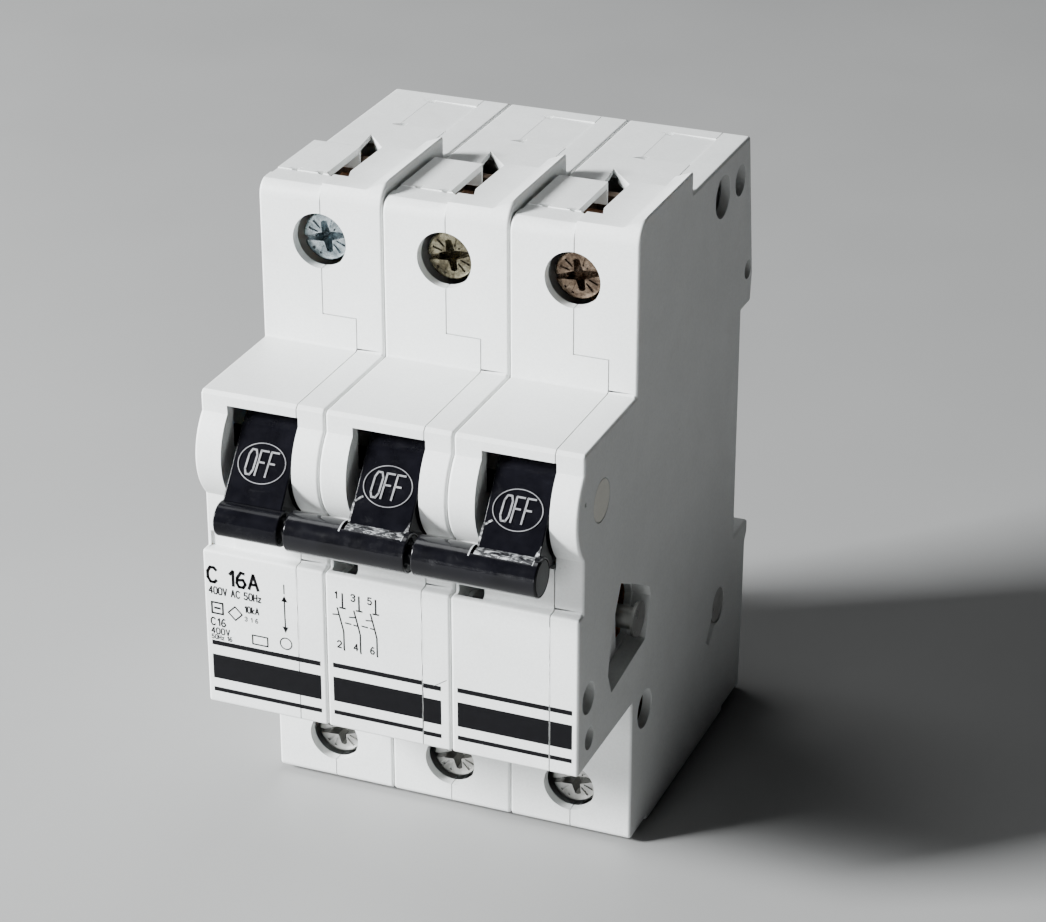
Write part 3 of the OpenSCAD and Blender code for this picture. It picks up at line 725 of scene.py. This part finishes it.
# each character as pen strokes in a box one unit high
GLYPHS = {
    "0": [[(0.2, 0), (0, 0.2), (0, 0.8), (0.2, 1), (0.6, 1), (0.8, 0.8), (0.8, 0.2), (0.6, 0), (0.2, 0)]],
    "1": [[(0.15, 0.75), (0.45, 1), (0.45, 0)]],
    "2": [[(0, 0.8), (0.2, 1), (0.6, 1), (0.8, 0.8), (0.8, 0.6), (0, 0), (0.8, 0)]],
    "3": [[(0, 0.85), (0.2, 1), (0.6, 1), (0.8, 0.8), (0.6, 0.54), (0.3, 0.54)],
          [(0.6, 0.54), (0.8, 0.3), (0.6, 0), (0.2, 0), (0, 0.15)]],
    "4": [[(0.6, 0), (0.6, 1), (0, 0.3), (0.8, 0.3)]],
    "5": [[(0.75, 1), (0.1, 1), (0.05, 0.55), (0.55, 0.6), (0.8, 0.35), (0.6, 0), (0.2, 0), (0, 0.15)]],
    "6": [[(0.7, 0.95), (0.4, 1), (0.05, 0.6), (0, 0.25), (0.2, 0), (0.6, 0), (0.8, 0.25), (0.6, 0.52),
           (0.1, 0.45)]],
    "A": [[(0, 0), (0.42, 1), (0.84, 0)], [(0.14, 0.33), (0.7, 0.33)]],
    "C": [[(0.8, 0.85), (0.6, 1), (0.25, 1), (0, 0.7), (0, 0.3), (0.25, 0), (0.6, 0), (0.8, 0.15)]],
    "F": [[(0, 0), (0, 1), (0.75, 1)], [(0, 0.54), (0.6, 0.54)]],
    "H": [[(0, 0), (0, 1)], [(0.75, 0), (0.75, 1)], [(0, 0.5), (0.75, 0.5)]],
    "N": [[(0, 0), (0, 1), (0.75, 0), (0.75, 1)]],
    "O": [[(0.2, 0), (0, 0.2), (0, 0.8), (0.2, 1), (0.6, 1), (0.8, 0.8), (0.8, 0.2), (0.6, 0), (0.2, 0)]],
    "V": [[(0, 1), (0.4, 0), (0.8, 1)]],
    "k": [[(0, 0), (0, 1)], [(0.6, 0.65), (0, 0.28), (0.65, 0)]],
    "z": [[(0, 0.62), (0.6, 0.62), (0, 0), (0.6, 0)]],
}


class Sheet:
    """Strokes on a plane: u runs along X, v up the plane and w out of it, in millimetres."""

    def __init__(self, origin, v=(0.0, 1.0), w=(-1.0, 0.0), low=-0.02, high=0.02):
        self.o, self.v, self.w, self.low, self.high = origin, v, w, low, high
        self.bm = bmesh.new()

    def at(self, u, v, w):
        y = self.o[1] + v * self.v[0] + w * self.w[0]
        z = self.o[2] + v * self.v[1] + w * self.w[1]
        return mm(self.o[0] + u, y, z)

    def poly(self, points):
        """A flat plate over the points."""
        span(self.bm, *[[self.at(u, v, w) for u, v in points] for w in (self.high, self.low)])

    def line(self, points, width, closed=False):
        """A pen stroke through the points."""
        pts = list(points) + ([points[0]] if closed else [])
        for (x0, y0), (x1, y1) in zip(pts, pts[1:]):
            length = math.hypot(x1 - x0, y1 - y0) or 1e-6
            dx, dy = (x1 - x0) / length * width / 2, (y1 - y0) / length * width / 2
            a, b = (x0 - dx * 0.6, y0 - dy * 0.6), (x1 + dx * 0.6, y1 + dy * 0.6)
            self.poly([(a[0] + dy, a[1] - dx), (b[0] + dy, b[1] - dx), (b[0] - dy, b[1] + dx),
                       (a[0] - dy, a[1] + dx)])

    def text(self, words, u, v, height, width=0.75, pen=0.16, gap=0.32, lean=0.0):
        """A row of characters from u, v; width, pen, gap and lean are shares of the height."""
        for ch in words:
            if ch == " ":
                u += height * width * 0.8
                continue
            wide = 0.0
            for path in GLYPHS[ch]:
                stroke = [(u + x * height * width + y * height * lean, v + y * height) for x, y in path]
                self.line(stroke, pen * height)
                wide = max(wide, max(x for x, _ in path))
            u += (wide + gap) * height * width

    def ring(self, u, v, ru, rv, pen, n=32):
        """An ellipse drawn with a pen."""
        for i in range(n):
            a0, a1 = 2 * math.pi * i / n, 2 * math.pi * (i + 1) / n
            quad = []
            for a, k in ((a0, -0.5), (a1, -0.5), (a1, 0.5), (a0, 0.5)):
                quad.append((u + (ru + pen * k) * math.cos(a), v + (rv + pen * k) * math.sin(a)))
            self.poly(quad)


# the two printed lines and the band between them, as [z, height], and where the label's print starts
STRIPES = ((31.4, 0.68), (27.83, 3.6), (24.35, 0.62))
PRINT_X = 7.9


def label_stripes(s, n):
    """Three stripes; on poles 2 and 3 they go on over the joint, a little lower on pole 2."""
    drop = -0.25 if n == 1 else 0.0
    for z, h in STRIPES:
        end = 4.72 if n > 1 else PRINT_X
        a, b = z - h / 2 + drop, z + h / 2 + drop
        s.poly([(-PRINT_X, a), (end, a), (end, b), (-PRINT_X, b)])
        if n > 1:
            low = -0.32 if n == 2 else 0.0
            end = PRINT_X if n == 3 else 7.4
            a, b = z - h / 2 + low, z + h / 2 + low
            s.poly([(4.9, a), (end, a), (end, b), (4.9, b)])


def label_ratings(s):
    """Generic ratings and plain shapes, and an arrow between the two positions of the handle."""
    s.text("C 16A", -8.1, 40.2, 2.15, 0.72, 0.20, 0.34)
    s.text("400V AC 50Hz", -8.0, 38.5, 1.0, 0.6, 0.19, 0.35)
    s.line([(-7.7, 35.6), (-6.1, 35.6), (-6.1, 37.2), (-7.7, 37.2)], 0.26, True)
    s.line([(-7.3, 36.4), (-6.5, 36.4)], 0.3)
    s.line([(-4.3, 35.1), (-3.3, 36.1), (-4.3, 37.1), (-5.3, 36.1)], 0.2, True)
    s.text("10kA", -2.9, 36.6, 0.9, 0.6, 0.2, 0.35)
    s.text("3 1 6", -2.9, 35.3, 0.6, 0.7, 0.2, 0.4)
    s.text("C16", -7.9, 33.8, 1.05, 0.7, 0.19, 0.4)
    s.text("400V", -7.9, 32.55, 0.85, 0.7, 0.2, 0.4)
    s.text("50Hz 16", -7.9, 31.75, 0.6, 0.7, 0.22, 0.4)
    s.line([(-1.9, 32.1), (0.3, 32.1), (0.3, 33.4), (-1.9, 33.4)], 0.2, True)
    s.line([(2.95, 41.8), (2.95, 40.5)], 0.16)
    s.line([(2.95, 40.0), (2.95, 36.6)], 0.18)
    s.poly([(2.5, 39.3), (3.4, 39.3), (2.95, 40.2)])
    s.poly([(2.55, 35.6), (2.98, 34.7), (3.4, 35.6)])
    s.line([(2.97, 36.8), (2.97, 35.4)], 0.18)
    s.ring(2.98, 33.1, 0.83, 0.83, 0.17)


def contact_diagram(s):
    """Three contacts side by side, numbered 1 to 6, the second and third linked to the one before."""
    for i, (top, foot) in enumerate((("1", "2"), ("3", "4"), ("5", "6"))):
        u = -6.3 + 2.35 * i
        s.line([(u, 42.2), (u, 40.2)], 0.23)
        s.line([(u - 0.4, 40.1), (u + 0.4, 40.1)], 0.23)
        s.text(top, u - 1.1, 41.4, 0.95, 0.7, 0.2)
        s.line([(u - 0.75, 40.0), (u - 0.1, 37.4), (u + 0.08, 36.6), (u + 0.08, 34.2), (u + 0.12, 33.9)], 0.21)
        s.line([(u - 1.4, 38.95), (u - 0.55, 39.05)], 0.19)
        s.text(foot, u - 0.85, 34.2, 0.95, 0.7, 0.2)
        if i:
            s.line([(u - 2.0, 38.0), (u - 1.2, 37.95)], 0.19)
            s.line([(u - 0.8, 37.9), (u - 0.2, 37.85)], 0.19)


def print_label(n):
    s = Sheet((pole_x(n), 0, 0))
    label_stripes(s, n)
    if n == 1:
        label_ratings(s)
    if n == 2:
        contact_diagram(s)
    add("label_print_%d" % n, s.bm, MAT["ink"], "casing")


def joint_edge(n):
    """A thin uneven light edge along the joint; its wander and its steps repeat."""
    burr = Sheet((pole_x(n), 0, 0), low=-0.01, high=0.025)
    wander, rise = (0.06, -0.05, 0.10, 0.0, -0.08, 0.04, 0.09), (0.9, 1.7, 0.6, 1.3)
    z, k = 32.0, 0
    path = []
    while z < 44.2:
        path.append((SEAM + wander[(k * (n + 2)) % len(wander)], z))
        z += rise[(k + n) % len(rise)]
        k += 1
    burr.line(path, 0.09)
    add("joint_edge_%d" % n, burr.bm, MAT["snap"], "casing")


for n in POLES:
    print_label(n)
    joint_edge(n)
# a fine dark line along the joint below the band, and a painted shadow line in the small groove at the second
# label's corner
snap = Sheet((0, 0, 0), low=-0.02, high=0.015)
snap.line([(4.9, 31.0), (6.2, 31.15), (8.2, 32.5)], 0.09)
snap.line([(4.82, 24.0), (4.9, 26.2), (4.76, 28.0), (4.93, 29.4), (4.8, 31.0)], 0.08)
add("label_joint_and_groove_shade", snap.bm, MAT["joint_and_groove_shade"], "casing")


def unit(angle):
    return math.cos(math.radians(angle)), math.sin(math.radians(angle))


def lever_marks(n):
    """A raised ring and word on each face of the lever, and scuffs beside the sleeve on poles 2 and 3."""
    cx = pole_x(n)
    for word, side, name in (("OFF", -1, "off"), ("ON", 1, "on")):
        normal = LEVER_ANGLE + side * FACE_TURN
        w, along = unit(normal), unit(normal - side * 90)
        v = (side * along[0], side * along[1])
        foot = polar(PIVOT, DRUM, normal)
        s = Sheet((cx + 0.55, foot[0] + 4.1 * along[0], foot[1] + 4.1 * along[1]), v, w, -0.1, 0.13)
        s.ring(0, 0, 3.3, 2.65, 0.10, 40)
        if word == "OFF":
            s.text("OFF", -2.15, -1.65, 3.3, 0.42, 0.07, 0.30, 0.06)
        else:
            s.text("ON", -1.55, -1.65, 3.3, 0.5, 0.07, 0.30)
        add("lever_%s_mark_%d" % (name, n), s.bm, MAT["relief"], "handle_bar")
        if n > 1 and word == "OFF":
            t = Sheet((cx, foot[0] + 10 * along[0], foot[1] + 10 * along[1]), v, w, -0.05, 0.05)
            t.poly([(3.9, 0.2), (4.65, 0.5), (4.62, 2.0)])
            t.line([(-3.5, 0.2), (-3.45, 3.3), (-2.5, 4.1)], 0.26)
            add("lever_scuff_%d" % n, t.bm, MAT["rubbed"], "handle_bar")


for n in POLES:
    lever_marks(n)


def arc_patch(r0, r1, a0, a1, x0, x1, cx, n=14):
    """A curved strip about the nose, from radius r0 to r1 and angle a0 to a1."""
    return prism(arc(NOSE, r1, a0, a1, n) + arc(NOSE, r0, a1, a0, n), x0, x1, cx)


for n in (2, 3):
    cx = pole_x(n)
    rub = arc_patch(2.3, 2.46, 76, 124, -3.4, 4.3, cx)
    add("sleeve_rub_%d" % n, rub, MAT["rubbed"], "handle_bar", 40)
    edge = joined(arc_patch(2.45, 2.68, 70, 127, -3.98, -3.8, cx),
                  arc_patch(2.45, 2.68, 104, 122, 4.5, 4.6, cx))
    add("sleeve_edge_%d" % n, edge, MAT["edge"], "handle_bar", 40)


# ---------- terminal screws ----------

# the screw's head: radius, and y of its front and back; the turn of its cross
HEAD_R, HEAD_FRONT, HEAD_BACK = 3.4, 21.9, 25.2
CROSS_TURN = 12


def screw(name, n, z, material):
    """A screw with a combination recess: a cross, a slot along one arm, and radial marks between."""
    cx = pole_x(n)
    body = rod_y(cx, z, HEAD_R, HEAD_FRONT, HEAD_BACK, 56)
    front_y = mm(0, HEAD_FRONT, 0).y
    front = [e for e in body.edges if all(abs(v.co.y - front_y) < 1e-7 for v in e.verts)]
    bmesh.ops.bevel(body, geom=front, offset=0.00035, segments=3, profile=0.5, affect="EDGES")

    def bar(a, shape, y0, y1):
        c, q = unit(a)
        return "cut", along_y([(u * c - v * q, z + u * q + v * c) for u, v in shape], y0, y1, cx)

    arm = ((-0.4, -0.75), (2.05, -0.42), (2.2, 0.0), (2.05, 0.42), (-0.4, 0.75))
    slot = ((-4, -0.36), (4, -0.36), (4, 0.36), (-4, 0.36))
    mark = ((1.35, -0.1), (2.75, -0.2), (2.75, 0.2), (1.35, 0.1))
    steps = [bar(CROSS_TURN + a, arm, 21, 24.6) for a in (0, 90, 180, 270)]
    steps.append(bar(CROSS_TURN, slot, 21, 22.9))
    steps += [bar(CROSS_TURN + a, mark, 21, 22.15) for a in (32, 58, 122, 148, 212, 238, 302, 328)]
    obj = add(name, carve(body, steps), material, BODY[name_of(n, z)], 35)
    shank = rod_y(cx, z, 2.45, 25.1, 33.9, 32)
    add(name + "_shank", shank, MAT["steel"], BODY[name_of(n, z)], 60)
    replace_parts(obj, name_of(n, z))


def name_of(n, z):
    """The CAD node of the screw at height z."""
    return "%s_screw_%d" % ("line" if z > 40 else "load", n)


for n in POLES:
    screw("line_screw_head_%d" % n, n, LINE_Z, MAT[("zinc", "zinc_yellow", "zinc_brown")[n - 1]])
    screw("load_screw_head_%d" % n, n, LOAD_Z, MAT["steel"])


# ---------- carried-over CAD nodes ----------

def finish_node(node, material):
    """Gives a CAD node its material."""
    me = NODES[node].data
    me.materials.clear()
    me.materials.append(material)


for n in POLES:
    finish_node("din_clip_%d" % n, MAT["clip"])
    for k in ("moving_contact", "line_conductor", "load_conductor", "flex_lead", "trip_coil"):
        finish_node("%s_%d" % (k, n), MAT["copper"])
    for k in ("arc_chute", "trip_plunger"):
        finish_node("%s_%d" % (k, n), MAT["steel"])
    for k in ("line_cage", "load_cage"):
        finish_node("%s_%d" % (k, n), MAT["cage"])
    finish_node("bimetal_%d" % n, MAT["bimetal"])
    finish_node("trip_lever_%d" % n, MAT["lever"])
finish_node("assembly_rivets", MAT["steel"])
